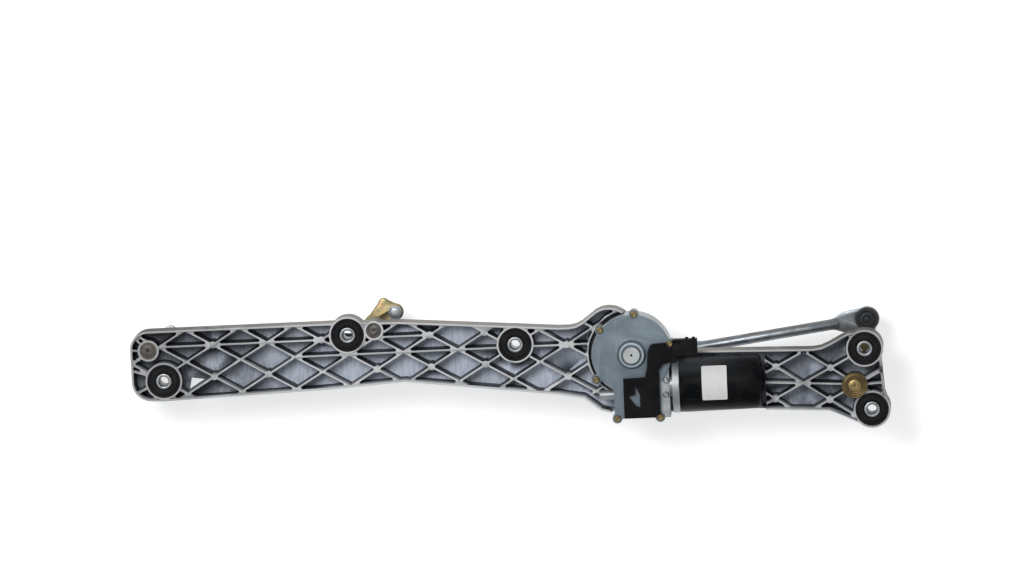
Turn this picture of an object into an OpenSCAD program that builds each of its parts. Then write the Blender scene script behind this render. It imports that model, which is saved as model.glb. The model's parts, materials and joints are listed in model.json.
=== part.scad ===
// Wiper linkage: cast frame, geared motor and lever linkage.
// Millimetres. Origin: centre mounting bush, at the frame's rim. X along the frame,
// Y across it, Z toward the motor side. The wiper spindles point along -Z.

/* [Frame] */
// Depth of the frame from its rim to its front face
frame_depth = 34; // [30:0.5:42]
// Thickness of the frame's outer walls
wall_t = 2.4; // [2:0.1:4.5]
// Thickness of the frame's web
web_t = 3; // [2:0.25:5]
// Width of the diagonal ribs
rib_w = 2; // [1.6:0.1:4]
// How far the ribs stay below the rim
rib_drop = 1.5; // [0.5:0.25:4]
// Corner radius of the rib pockets
pocket_r = 1.6; // [1:0.2:4]
// Distance between two rib crossings along the frame
rib_step = 29.9; // [24:0.1:36]
// Distance between two rib rows across the frame
row_step = 17.6; // [13:0.1:22]
// Slope of the left rib field
left_rib_slope = 2.65; // [0:0.05:5]
// Slope of the right rib field
right_rib_slope = -1; // [-4:0.25:4]
// Diameter of the ejector pads on the rib crossings
pad_d = 7.6; // [5:0.2:10]
// Radius of the frame's arch beside the gear housing
arch_r = 27.3; // [25:0.1:29]

/* [Mounting bushes] */
// Place of the left bush
bush_left = [-386.7, -40.8]; // [-450:0.1:450]
// Place of the inner left bush
bush_inner = [-184.3, 10.2]; // [-450:0.1:450]
// Place of the upper right bush
bush_upper = [383.2, -4.2]; // [-450:0.1:450]
// Place of the lower right bush
bush_lower = [391.5, -71.1]; // [-450:0.1:450]
// Diameter of the rubber bushes
rubber_d = 36.6; // [30:0.2:39]
// Wall of the ring around a rubber bush
ring_t = 2.2; // [1.5:0.1:4]
// Height of the rubber above the rim
rubber_rise = 1; // [0:0.2:4]
// Outer diameter of the steel sleeves
sleeve_d = 17; // [14:0.2:22]
// Bolt hole of the steel sleeves
sleeve_bore = 10.5; // [8.4:0.1:12.5]
// Height of the sleeve above the rubber
sleeve_rise = 0.8; // [0:0.2:3]

/* [Spindles] */
// Axis of the right wiper spindle
right_axis = [372.5, -44.6]; // [-450:0.1:450]
// Axis of the left wiper spindle
left_axis = [-403.7, -7.3]; // [-450:0.1:450]
// Axis of the middle pivot
idler_axis = [-155.3, 15.3]; // [-450:0.1:450]
// Diameter of the right spindle
right_shaft_d = 14; // [12:0.2:17]
// Diameter of the left spindle
left_shaft_d = 14; // [12.6:0.2:17]
// Diameter of the middle pivot shaft
idler_shaft_d = 12; // [10:0.2:13.5]
// Wall of the bearing bushes
bearing_t = 2.4; // [1.2:0.1:2.8]
// Length of one bearing bush
bearing_len = 14; // [8:0.5:17]
// Wall of the cast bearing tubes
tube_t = 2; // [1.6:0.1:4]
// Running clearance of shafts and pins
run_gap = 0.05; // [0.03:0.01:0.08]
// Gap between bodies that pass each other
pass_gap = 0.3; // [0.25:0.05:0.6]
// Diameter of the wiper arm seat
seat_d = 12; // [10:0.2:13]
// Length of the wiper arm seat
seat_len = 12; // [8:0.5:18]
// Diameter of the threaded spindle end
thread_d = 8; // [6:0.5:9]
// Length of the threaded spindle end
thread_len = 14; // [8:0.5:20]
// Diameter of the gold retaining disc on the right spindle
disc_d = 28.5; // [24:0.5:34]

/* [Linkage] */
// Radius of the motor crank
crank_r = 38; // [36:0.5:46]
// Direction of the crank at rest
crank_dir = -9; // [-20:0.5:10]
// Thickness of the levers and of the crank
lever_t = 5; // [4:0.25:7]
// Length of the right lever
right_arm = 68.2; // [60:0.2:80]
// Direction of the right lever at rest
right_dir = 79.2; // [60:0.1:85]
// Length of the bell crank's input arm
input_arm = 60; // [50:0.5:70]
// Direction of the bell crank's input arm at rest
input_dir = -47; // [-60:0.5:-35]
// Length of the bell crank's output arm and of the left lever
output_arm = 25.6; // [22:0.2:30]
// Direction of the output arm at rest
output_dir = 36; // [25:0.5:50]
// Diameter of the push rod tubes
rod_d = 12; // [9:0.25:14]
// Length of a flattened rod end
flat_len = 40; // [28:1:55]
// Thickness of a flattened rod end
flat_t = 4.4; // [3:0.2:6]
// Diameter of the ball studs' balls
ball_d = 13; // [11:0.2:14]
// Diameter of the ball sockets
socket_d = 26; // [22:0.5:30]
// Height of the sockets on the crank pin
cap_h = 12; // [12:0.2:16]
// Height of the rubber boot under the crank
boot_h = 11; // [10:0.5:14]
// Diameter of the link pins
pin_d = 8; // [6:0.2:9]
// Thickness of the connecting rod bar
bar_t = 4; // [3:0.25:5]
// Width of the connecting rod bar
bar_w = 11; // [8:0.5:12]
// Drop of the connecting rod's neck
neck_drop = 30; // [29.5:0.5:34]

/* [Gear motor] */
// Axis of the motor's output shaft
motor_axis = [128.4, -9.2]; // [-450:0.1:450]
// Slope of the motor on the frame
motor_slope = 2.2; // [0:0.1:4]
// Distance from output shaft to worm axis
worm_dist = 36; // [36:0.1:36.4]
// Height of the worm axis above the rim
worm_z = 2; // [1:0.25:5]
// Diameter of the gear housing
housing_d = 88; // [86:0.5:91]
// Length of the motor can
can_len = 90; // [80:1:96]
// Diameter of the motor can
can_d = 59.4; // [54:0.2:61]
// Wall of the motor can
can_t = 1.6; // [1.2:0.1:2.4]
// Teeth of the worm wheel
wheel_teeth = 52; // [52:1:52]
// Width of the worm wheel
wheel_w = 14; // [10:0.5:15]
// Diameter of the output shaft
out_d = 12; // [10:0.2:13]
// Diameter of the armature shaft
arm_shaft_d = 8; // [6:0.2:8.4]
// Thickness of the gear cover
cover_t = 2; // [1.2:0.1:3]
// Height of the black connector cover
plug_h = 6; // [4:0.5:14]

/* [Hidden] */
$fn = 64;
fit = 0.02;
seat = 0.05;
origin_bush = [0, 0];
z_front = -frame_depth;
z_web = z_front + web_t;
rubber_r = rubber_d / 2;
ring_r = rubber_r + ring_t;
rubber_lip = 3;
rim_step = 0.3;
right_r = right_shaft_d / 2;
left_r = left_shaft_d / 2;
idler_r = idler_shaft_d / 2;
bush_places = [bush_left, bush_inner, origin_bush, bush_upper, bush_lower];

// heights, from the frame's front face down
crank_gap = 6;
crank_top = z_front - crank_gap;
crank_bot = crank_top - lever_t;
boot_bot = crank_bot - boot_h;
cap1_top = boot_bot - pass_gap;
cap1_bot = cap1_top - cap_h;
rod1_z = cap1_top - 0.1 - rod_d / 2;
cap2_top = cap1_bot - pass_gap;
cap2_bot = cap2_top - cap_h;
rod2_z = cap2_top - 0.1 - rod_d / 2;
stud_rise = 14;
right_lever_top = rod1_z - stud_rise;
right_lever_bot = right_lever_top - lever_t;
bell_bot = rod2_z + stud_rise;
bell_top = bell_bot + lever_t;
bar_bot = bell_top + pass_gap;
bar_top = bar_bot + bar_t;
pin_head_t = 2;
pin_head_top = bar_top + pass_gap + pin_head_t;
short_tube_bot = pin_head_top + 1.2;
long_tube_bot = right_lever_top + 6;
shoulder_z = min(right_lever_bot, cap2_bot) - 8;
tip_z = shoulder_z - seat_len - thread_len;

// pivots at rest
function polar(c, l, a) = [c.x + l * cos(a), c.y + l * sin(a)];
function angle_of(a, b) = atan2(b.y - a.y, b.x - a.x);
crank_pin = polar(motor_axis, crank_r, crank_dir);
right_ball = polar(right_axis, right_arm, right_dir);
input_ball = polar(idler_axis, input_arm, input_dir);
link_pin = polar(idler_axis, output_arm, output_dir);
left_pin = polar(left_axis, output_arm, output_dir);
right_rod_len = norm(right_ball - crank_pin);
right_rod_dir = angle_of(crank_pin, right_ball);
left_rod_len = norm(crank_pin - input_ball);
left_rod_dir = angle_of(input_ball, crank_pin);

// motor, in the motor's own axes
worm_pitch_r = 6;
wheel_pitch_r = worm_dist - worm_pitch_r;
tooth_pitch = 2 * PI * wheel_pitch_r / wheel_teeth;
worm_r = worm_pitch_r + 1.1;
worm_core_r = worm_pitch_r - 1.2;
housing_r = housing_d / 2;
housing_bot = z_web + 3;
housing_top = 15;
cavity_r = wheel_pitch_r + 6;
cavity_bot = worm_z - wheel_w / 2 - 3;
can_r = can_d / 2;
foot_y = -worm_dist - 34.5;
foot_x = [-21, 30];
foot_bot = -13;
flange_x = round(10 * max(sqrt(pow(housing_r + 3.2, 2) - 900), foot_x[1] + 3.6)) / 10;
flange_w = flange_x + 3.8 - foot_x[1];
flange_h = 54;
flange_screws = [[flange_x, -30], [flange_x - 0.4, -worm_dist - 9.6]];
can_x0 = flange_x + 14.6;
can_x1 = can_x0 + can_len;
cover_top = housing_top + cover_t;
motor_gap = 4;
bolt_r = 34;
bolt_dirs = [118, 200, 330];
bolt_d = 6;
screw_places = [
    polar([0, 0], housing_r, 140),
    polar([0, 0], housing_r + 0.3, 84.8),
    polar([0, 0], housing_r - 0.2, 14),
    polar([0, 0], housing_r + 3.6, 213.4),
    [foot_x[0] + 2.7, foot_y + 0.5],
    [foot_x[1] - 1.2, foot_y + 0.5]
];
lobe_r = 5.4;
lobe_bot = 0.6;
screw_d = 4;

// helpers
function arc(c, r, a0, a1, n = 10) =
    [for (i = [0 : n]) polar(c, r, a0 + (a1 - a0) * i / n)];

module at(p, z = 0) {
    translate([p.x, p.y, z]) children();
}

module ring(r_out, r_in, h) {
    difference() {
        cylinder(r = r_out, h = h);
        translate([0, 0, -1]) cylinder(r = r_in, h = h + 2);
    }
}

module in_motor() {
    at(motor_axis) rotate([0, 0, motor_slope]) children();
}

// along the worm axis, from x0 on
module on_worm(x0) {
    translate([x0, -worm_dist, worm_z]) rotate([0, 90, 0]) children();
}

// flat arm along X with round ends
module arm(l, r0, r1, t) {
    linear_extrude(t) {
        circle(r0);
        taper2d(l, r0, r1);
    }
}

module taper2d(l, r0, r1) {
    translate([l, 0]) circle(r1);
    polygon([[0, -r0 + 0.5], [l, -r1 + 0.5], [l, r1 - 0.5], [0, r0 - 0.5]]);
}

// frame outline, from the lower left corner on
arch_centre = [motor_axis.x - 25.5, motor_axis.y + 22.6];
frame_outline = concat(
    arc([left_axis.x + 3.2, bush_left.y - 0.6], ring_r + 1, 180, 270),
    [
        [bush_left.x, bush_left.y - ring_r - 1.6],
        [bush_inner.x - 19.7, bush_inner.y - 60],
        [idler_axis.x + 34, idler_axis.y - 56.6],
        [motor_axis.x - 79.4, motor_axis.y - 46],
        [motor_axis.x - 52.7, motor_axis.y - 50],
        [motor_axis.x - 34.4, motor_axis.y - 63.2],
        [motor_axis.x - 21.4, motor_axis.y - 66.3],
        [motor_axis.x + 61.6, motor_axis.y - 66.3],
        [right_axis.x - 106.5, right_axis.y - 26.9],
        [bush_lower.x - 46.9, bush_lower.y - 1.3],
        [bush_lower.x - 38.5, bush_lower.y - 4.4]
    ],
    arc(bush_lower, ring_r - 0.8, 235, 380, 16),
    [
        [bush_lower.x + 14, bush_lower.y + 19],
        [bush_upper.x + 18.5, bush_upper.y - 13]
    ],
    arc(bush_upper, ring_r - 0.8, -20, 122, 16),
    [
        [bush_upper.x - 18.2, bush_upper.y + 16.6],
        [bush_upper.x - 28, bush_upper.y + 11.4],
        [bush_upper.x - 38.6, bush_upper.y + 5.2],
        [bush_upper.x - 48, bush_upper.y + 1],
        [bush_upper.x - 57.5, bush_upper.y - 0.6],
        [motor_axis.x + 119, motor_axis.y + 3.2],
        [motor_axis.x + 61.6, motor_axis.y + 2.2]
    ],
    arc(motor_axis, housing_r - 4, 4, 56, 8),
    arc(arch_centre, arch_r, 40, 135, 12),
    [
        [motor_axis.x - 55.3, motor_axis.y + 33.4],
        [motor_axis.x - 62.1, motor_axis.y + 29.7],
        [motor_axis.x - 69.9, motor_axis.y + 28.1],
        [motor_axis.x - 81.2, motor_axis.y + 27.7],
        [idler_axis.x + 27.3, idler_axis.y + 9.5],
        [bush_inner.x - 19.7, bush_inner.y + 13]
    ],
    arc([left_axis.x, left_axis.y + 1.5], 20, 90, 180)
);

// rib fields
left_node = [-242.3, -14.1];
right_node = [315.7, -42.7];
rib_dir = atan2(row_step, rib_step);
left_pads = [
    [-3, 1], [-3, -1], [-1, -1], [1, 1], [3, -1], [5, 1],
    [5, -1], [7, 1], [7, -1], [10, 0], [10, -2]
];
right_pads = [[-1, 1], [-1, -1], [1, 1], [1, -1]];
motor_clear_r = housing_r + motor_gap;
arc_wall_t = 2;

module outline2d() {
    polygon(frame_outline);
    for (p = bush_places) at(p) circle(ring_r);
}

module bar2d(l0, l1, w) {
    translate([l0, -w / 2]) square([l1 - l0, w]);
}

module ribs2d() {
    translate(left_node) rotate(left_rib_slope) {
        for (n = [-8 : 2 : 14], s = [-1, 1])
            translate([n * rib_step, 0]) rotate(s * rib_dir) bar2d(-110, 110, rib_w);
        bar2d(0, 12 * rib_step, rib_w);
        translate([0, row_step]) bar2d(-5.2 * rib_step, rib_step, rib_w);
        translate([0, row_step]) bar2d(3 * rib_step, 5 * rib_step, rib_w);
        for (p = left_pads) translate([p.x * rib_step, p.y * row_step]) circle(d = pad_d);
    }
    translate(right_node) rotate(right_rib_slope) {
        for (n = [-2 : 2 : 2], s = [-1, 1])
            translate([n * rib_step, 0]) rotate(s * rib_dir) bar2d(-2.2 * rib_step, 2.2 * rib_step, rib_w);
        bar2d(-2 * rib_step, 2 * rib_step, rib_w);
        for (p = right_pads) translate([p.x * rib_step, p.y * row_step]) circle(d = pad_d);
    }
    // short ribs around the end bosses
    for (a = [138, 180, 219]) at(left_axis) rotate(a) bar2d(0, 40, rib_w);
    for (a = [162, 204]) at(bush_left) rotate(a) bar2d(0, 60, rib_w);
    for (a = [5, 32]) at(right_axis) rotate(a) bar2d(0, 60, rib_w);
}

module motor_zone2d() {
    at(motor_axis) circle(motor_clear_r);
    at(motor_axis) rotate(motor_slope)
        translate([0, -120]) square([can_x1 + motor_gap, 200]);
}

module bosses2d() {
    for (p = bush_places) at(p) circle(ring_r);
    at(right_axis) circle(right_r + bearing_t + tube_t);
    at(left_axis) circle(left_r + bearing_t + tube_t);
    at(idler_axis) circle(idler_r + bearing_t + tube_t);
}

module inner2d() {
    difference() {
        offset(delta = -wall_t) polygon(frame_outline);
        bosses2d();
    }
}

module pockets2d() {
    offset(r = pocket_r, $fn = 20) offset(delta = -pocket_r) difference() {
        inner2d();
        ribs2d();
        motor_zone2d();
        at(motor_axis) circle(motor_clear_r + arc_wall_t);
    }
}

// FRAME BODY

module frame_casting() {
    color("silver") difference() {
        union() {
            difference() {
                translate([0, 0, z_front]) linear_extrude(frame_depth) outline2d();
                translate([0, 0, z_web]) linear_extrude(frame_depth) pockets2d();
                translate([0, 0, z_web]) linear_extrude(frame_depth) intersection() {
                    inner2d();
                    motor_zone2d();
                }
                translate([0, 0, -rib_drop]) linear_extrude(frame_depth) offset(delta = rim_step) inner2d();
            }
            for (a = bolt_dirs) in_motor() rotate([0, 0, a])
                translate([bolt_r, 0, z_web - 1]) cylinder(r = 7, h = housing_bot - z_web + 1);
            at(right_axis, long_tube_bot)
                cylinder(r = right_r + bearing_t + tube_t + rim_step, h = -long_tube_bot);
            at(left_axis, short_tube_bot)
                cylinder(r = left_r + bearing_t + tube_t + rim_step, h = -short_tube_bot);
            at(idler_axis, short_tube_bot)
                cylinder(r = idler_r + bearing_t + tube_t + rim_step, h = -short_tube_bot);
            // gussets on the front face
            for (a = [100, 190, 260]) at(right_axis, z_front - 18) rotate([0, 0, a])
                translate([0, -1.5, 0]) cube([right_r + bearing_t + tube_t + 7, 3, 19]);
        }
        for (p = bush_places) {
            at(p, z_web) cylinder(r = rubber_r + seat, h = frame_depth);
            at(p, z_front - 1) cylinder(r = rubber_r - rubber_lip, h = frame_depth);
        }
        at(right_axis, long_tube_bot - 1) cylinder(r = right_r + bearing_t + fit, h = -long_tube_bot + 2);
        at(left_axis, short_tube_bot - 1) cylinder(r = left_r + bearing_t + fit, h = -short_tube_bot + 2);
        at(idler_axis, short_tube_bot - 1) cylinder(r = idler_r + bearing_t + fit, h = -short_tube_bot + 2);
        in_motor() {
            translate([0, 0, z_front - 1]) cylinder(r = out_d / 2 + 10, h = 20);
            translate([0, 0, housing_bot]) cylinder(r = housing_r + 1.2, h = 60);
            on_worm(can_x0 - 12) cylinder(r = can_r + 1.5, h = can_len + 15.4);
            translate([can_x0 - 12, foot_y - 14, foot_bot]) cube([can_len + 15.4, 34, 60]);
            translate([foot_x[0] - 4, foot_y - 14, foot_bot - 1.5])
                cube([foot_x[1] - foot_x[0] + 20, 52, 60]);
            for (a = bolt_dirs) rotate([0, 0, a])
                translate([bolt_r, 0, z_front - 1]) cylinder(r = bolt_d / 2 + 0.3, h = 20);
        }
        // drain hole beside the left bush
        translate([0, 0, z_front - 1]) linear_extrude(web_t + 2)
            at(bush_left) polygon([[28.5, 0.8], [43, -0.6], [26.5, -11.5]]);
    }
}

module rubber_bush(p) {
    color([0.08, 0.08, 0.09]) at(p, z_web + seat)
        ring(rubber_r, sleeve_d / 2 + fit, rubber_rise - z_web - seat);
}

module bush_sleeve(p) {
    color("gainsboro") at(p, z_front + 1)
        ring(sleeve_d / 2, sleeve_bore / 2, rubber_rise + sleeve_rise - z_front - 1);
}

module bearing_pair(p, r, z_low, drop) {
    color("peru") for (z = [z_low, -drop - bearing_len]) at(p, z)
        ring(r + bearing_t, r + run_gap, bearing_len);
}

module right_bearings() {
    bearing_pair(right_axis, right_r, long_tube_bot, 0);
}

module left_bearings() {
    bearing_pair(left_axis, left_r, short_tube_bot, 1.5);
}

module idler_bearings() {
    bearing_pair(idler_axis, idler_r, short_tube_bot, 4);
}

// GEAR MOTOR

module foot2d() {
    translate([foot_x[0], foot_y]) square([foot_x[1] - foot_x[0], -foot_y]);
}

module cover2d(r) {
    circle(r);
    foot2d();
    for (p = screw_places) translate(p) circle(lobe_r);
}

module gear_housing() {
    color("lightslategray") in_motor() difference() {
        union() {
            translate([0, 0, housing_bot]) cylinder(r = housing_r, h = housing_top - housing_bot);
            translate([0, 0, foot_bot]) linear_extrude(housing_top - foot_bot) foot2d();
            translate([0, 0, lobe_bot]) linear_extrude(housing_top - lobe_bot) cover2d(housing_r);
            translate([foot_x[1] - 1, foot_y, foot_bot])
                cube([flange_w + 1, flange_h, housing_top - foot_bot]);
            on_worm(foot_x[1]) cylinder(r = 12.8, h = can_x0 - foot_x[1]);
            on_worm(can_x0 - 7.4) cylinder(r = can_r + 1.4, h = 7.4);
            translate([foot_x[0] - 16, -worm_dist - 8.5, lobe_bot + 5.5]) rotate([0, 90, 0])
                cylinder(r = 5.5, h = 20);
            translate([0, 0, z_front - 3]) cylinder(r = out_d / 2 + 7, h = 12);
        }
        translate([0, 0, cavity_bot]) cylinder(r = cavity_r, h = 60);
        on_worm(-18) cylinder(r = worm_r + 1.4, h = 90);
        on_worm(-22) cylinder(r = arm_shaft_d / 2 + 0.3, h = 31);
        on_worm(can_x0 - 6) cylinder(r = 11, h = 10);
        for (p = flange_screws) translate([p.x, p.y, housing_top - 6]) cylinder(r = 1.5 + fit, h = 8);
        translate([0, 0, z_front - 5]) cylinder(r = out_d / 2 + 2.4, h = 60);
        for (a = bolt_dirs) rotate([0, 0, a])
            translate([bolt_r, 0, housing_bot - 1]) cylinder(r = bolt_d / 2 + fit, h = 15);
        for (p = screw_places) translate([p.x, p.y, housing_top - 12])
            cylinder(r = screw_d / 2 + fit, h = 20);
        for (s = [-1, 1]) translate([0, -worm_dist + s * 24, worm_z]) rotate([0, 90, 0])
            translate([0, 0, can_x0 - 10]) cylinder(r = 2 + fit, h = 20);
    }
}

module gear_cover() {
    color("slategray") in_motor() difference() {
        union() {
            translate([0, 0, housing_top]) linear_extrude(cover_t) cover2d(housing_r - 0.5);
            translate([0, 0, housing_top]) cylinder(r1 = 17, r2 = 13.5, h = cover_t + 6);
            translate([0, 0, housing_top]) cylinder(r = 9.5, h = cover_t + 9);
        }
        translate([0, 0, housing_top - 1]) cylinder(r = out_d / 2 + 1, h = cover_t + 6);
        translate([0, 0, cover_top + 4]) cylinder(r = 1.3, h = 9);
        for (p = screw_places) translate([p.x, p.y, housing_top - 1])
            cylinder(r = screw_d / 2 + 0.2, h = 9);
    }
}

module cover_screws() {
    color("goldenrod") in_motor() for (p = screw_places) translate([p.x, p.y, 0]) {
        translate([0, 0, housing_top - 10]) cylinder(d = screw_d, h = 10 + cover_t + 1);
        difference() {
            translate([0, 0, cover_top]) cylinder(d = 2 * screw_d, h = 3.2);
            translate([0, 0, cover_top + 1.4]) cylinder(d = screw_d, h = 4, $fn = 6);
        }
    }
}

module output_bearing() {
    color("peru") in_motor() translate([0, 0, z_front - 3])
        ring(out_d / 2 + 2.4 - fit, out_d / 2 + run_gap, cavity_bot - z_front + 3);
}

plug_outline = [
    [-10.3, -69.5], [29.3, -69.5], [29.3, -18], [33.7, -12], [42, -9.4], [56, -8],
    [60, -4], [60, 13], [49.1, 16], [39.2, 12], [24, 11.4], [20.4, 9.4],
    [17.6, 3], [16.6, -14], [13.5, -25.4], [-10.3, -26]
];
plug_window = [[-5.4, -45], [1.9, -44], [1.9, -36], [3.4, -35], [7.4, -44], [7.4, -58], [2.9, -57]];
mouth = [72.5, 14, 9];
plug_base = cover_top + 0.2;

module connector_cover() {
    color([0.1, 0.1, 0.11]) in_motor() difference() {
        union() {
            translate([0, 0, plug_base]) linear_extrude(plug_h) difference() {
                polygon(plug_outline);
                polygon(plug_window);
                circle(17.5);
            }
            translate([46, -2.8, plug_base]) cube([mouth.x - 46, mouth.y + 5, mouth.z + 5]);
        }
        translate([52, -0.3, plug_base + 2.5]) cube([mouth.x, mouth.y, mouth.z]);
        for (p = screw_places) translate([p.x, p.y, plug_base - 1]) cylinder(r = screw_d + 0.7, h = 60);
    }
}

module connector_pins() {
    color("gold") in_motor() for (i = [0 : 3])
        translate([52, 1.6 + i * 3, plug_base + 6.5]) cube([12, 1.2, 0.9]);
}

module park_contacts() {
    color("goldenrod") in_motor() for (a = [60, 75, 90]) rotate([0, 0, a])
        translate([wheel_pitch_r - 13, -1.4, housing_top - 2.4]) cube([9, 2.8, 2.4]);
}

module motor_can() {
    color([0.1, 0.1, 0.1]) in_motor() difference() {
        union() {
            on_worm(can_x0 + seat) cylinder(r = can_r, h = can_len - 5 - seat);
            on_worm(can_x1 - 5) cylinder(r1 = can_r, r2 = can_r - 5, h = 5);
            on_worm(can_x1 - 1) cylinder(r = 11, h = 4);
        }
        on_worm(can_x0 - 1) cylinder(r = can_r - can_t, h = can_len - 6);
        on_worm(can_x1 - 9) cylinder(r = 7, h = 10);
    }
}

module can_screws() {
    color("gainsboro") in_motor() {
        for (s = [-1, 1]) translate([0, -worm_dist + s * 24, worm_z]) rotate([0, 90, 0])
            translate([0, 0, can_x0 - 9]) cylinder(r = 2, h = 17);
        for (p = flange_screws) translate([p.x, p.y, housing_top]) {
            translate([0, 0, -5.8]) cylinder(r = 1.5, h = 6.3);
            cylinder(r1 = 3.3, r2 = 2.4, h = 2.2);
        }
    }
}

module field_magnets() {
    color("dimgray") in_motor() on_worm(can_x0 + 28) for (a = [0, 180]) rotate([0, 0, a])
        rotate([0, 0, -55]) rotate_extrude(angle = 110)
            translate([can_r - can_t - 6.5, 0]) square([6.5 - seat, can_len - 44]);
}

module armature_bearings() {
    color("peru") in_motor() {
        on_worm(can_x0 - 6) ring(11 - fit, arm_shaft_d / 2 + run_gap, 6);
        on_worm(can_x1 - 7) ring(7 - fit, arm_shaft_d / 2 + run_gap, 8);
    }
}

module brush_plate() {
    color("saddlebrown") in_motor() difference() {
        on_worm(can_x0 + 1) cylinder(r = can_r - can_t - seat, h = 3);
        on_worm(can_x0) cylinder(r = 11, h = 6);
        for (s = [-1, 1]) translate([0, -worm_dist + s * 24, worm_z]) rotate([0, 90, 0])
            translate([0, 0, can_x0 - 1]) cylinder(r = 2 + fit, h = 9);
    }
}

module carbon_brushes() {
    color([0.2, 0.2, 0.2]) in_motor() for (s = [-1, 1])
        translate([can_x0 + 4 + seat, -worm_dist - 3, worm_z + (s > 0 ? 10.4 : -21.4)]) cube([9, 6, 11]);
}

module motor_bolts() {
    color("goldenrod") in_motor() for (a = bolt_dirs) rotate([0, 0, a]) translate([bolt_r, 0, z_front]) {
        translate([0, 0, -4]) cylinder(d = 2 * bolt_d, h = 4, $fn = 6);
        translate([0, 0, -1]) cylinder(d = bolt_d, h = 15);
    }
}

// CRANK BODY

tooth_w = 1.1;
module worm_wheel() {
    color("ivory") in_motor() translate([0, 0, worm_z - wheel_w / 2]) difference() {
        union() {
            cylinder(r = wheel_pitch_r - 1.5, h = wheel_w);
            for (i = [0 : wheel_teeth - 1]) rotate([0, 0, -90 + (i + 0.5) * 360 / wheel_teeth])
                translate([wheel_pitch_r - 2.5, 0, 0]) linear_extrude(wheel_w)
                    polygon([[0, -tooth_w], [3.3, -tooth_w * 0.45], [3.3, tooth_w * 0.45], [0, tooth_w]]);
        }
        translate([0, 0, -1]) cylinder(r = out_d / 2 + fit, h = wheel_w + 2);
        translate([0, 0, wheel_w - 4]) ring(wheel_pitch_r - 6, 14, 5);
    }
}

module contact_disc() {
    color("goldenrod") in_motor() translate([0, 0, worm_z + wheel_w / 2 - 4])
        ring(wheel_pitch_r - 6 - fit, 14 + fit, 5.4);
}

module output_shaft() {
    color("silver") at(motor_axis, crank_bot - 7) cylinder(d = out_d, h = housing_top - crank_bot + 7 - 1);
}

module crank_arm() {
    color("goldenrod") at(motor_axis, crank_bot) rotate([0, 0, crank_dir]) difference() {
        arm(crank_r, 14, 11.5, lever_t);
        translate([0, 0, -1]) cylinder(d = out_d + 2 * fit, h = lever_t + 2);
        translate([crank_r, 0, -1]) cylinder(r = 5 + fit, h = lever_t + 2);
    }
}

module crank_nut() {
    color("gainsboro") at(motor_axis, crank_bot - 6) difference() {
        cylinder(r = out_d / 2 + 4.5, h = 6, $fn = 6);
        translate([0, 0, -1]) cylinder(d = out_d + 2 * fit, h = 8);
    }
}

module crank_ball_stud() {
    color("silver") at(crank_pin) {
        translate([0, 0, crank_bot - 3]) cylinder(r = 5, h = lever_t + 3.6);
        translate([0, 0, crank_bot - 3]) cylinder(r = 8, h = 3);
        translate([0, 0, boot_bot + 0.1 + ball_d / 2]) sphere(d = ball_d);
    }
}

module crank_boot() {
    color([0.08, 0.08, 0.08]) at(crank_pin) rotate_extrude()
        polygon([
            [8.2, crank_bot - 0.2], [10, crank_bot - 0.2], [socket_d / 2 - 0.5, boot_bot + 4],
            [socket_d / 2 - 0.5, boot_bot + 0.05], [ball_d / 2 + 0.2, boot_bot + 0.05],
            [ball_d / 2 + 0.2, boot_bot + ball_d / 2], [8.2, crank_bot - 3.5]
        ]);
}

// ARMATURE BODY

module armature_shaft() {
    color("silver") in_motor() on_worm(-21) cylinder(d = arm_shaft_d, h = can_x1 + 21 - 0.6);
}

worm_x0 = -11;
worm_len = 22;
worm_phase = 360 * worm_x0 / tooth_pitch;
thread_profile = concat(
    arc([0, 0], worm_r, -28, 28, 3),
    arc([0, 0], worm_core_r, 66, 294, 7)
);
module worm() {
    color("silver") in_motor() difference() {
        on_worm(worm_x0) rotate([0, 0, 90 + worm_phase])
            linear_extrude(worm_len, twist = -360 * worm_len / tooth_pitch, slices = 64, $fn = 12)
                polygon(thread_profile);
        on_worm(worm_x0 - 1) cylinder(d = arm_shaft_d + 2 * fit, h = worm_len + 2);
    }
}

module armature_core() {
    color("dimgray") in_motor() on_worm(can_x0 + 32) difference() {
        cylinder(r = can_r - can_t - 7.5, h = can_len - 52);
        translate([0, 0, -1]) cylinder(d = arm_shaft_d + 2 * fit, h = can_len - 50);
        for (i = [0 : 9]) rotate([0, 0, i * 36]) translate([can_r - can_t - 13, -1.2, -1])
            cube([8, 2.4, can_len - 50]);
    }
}

module commutator() {
    color("chocolate") in_motor() on_worm(can_x0 + 3) ring(10, arm_shaft_d / 2 + fit, 14);
}

module armature_windings() {
    color("chocolate") in_motor() for (x = [can_x0 + 20, can_x1 - 20 + seat])
        on_worm(x) ring(can_r - can_t - 10, arm_shaft_d / 2 + fit, 12 - seat);
}

// RIGHT SPINDLE BODY

module spindle(p, r, z_top, lever_z) {
    color("silver") at(p) difference() {
        union() {
            translate([0, 0, shoulder_z]) cylinder(r = r, h = z_top - shoulder_z);
            translate([0, 0, shoulder_z - seat_len]) cylinder(d = seat_d, h = seat_len);
            translate([0, 0, tip_z]) cylinder(d = thread_d, h = thread_len);
        }
        translate([0, 0, z_top - 3]) cylinder(r = 1, h = 4);
    }
}

disc_gap = pass_gap;
module right_spindle() {
    spindle(right_axis, right_r, 6.2);
}

module right_lever() {
    color("goldenrod") at(right_axis, right_lever_bot) rotate([0, 0, right_dir]) difference() {
        union() {
            arm(right_arm, 15, 11.5, lever_t);
            cylinder(r = 13, h = lever_t + 3);
        }
        translate([0, 0, -1]) cylinder(r = right_r + fit, h = lever_t + 6);
        translate([right_arm, 0, -1]) cylinder(r = 4.5 + fit, h = lever_t + 2);
    }
}

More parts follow.
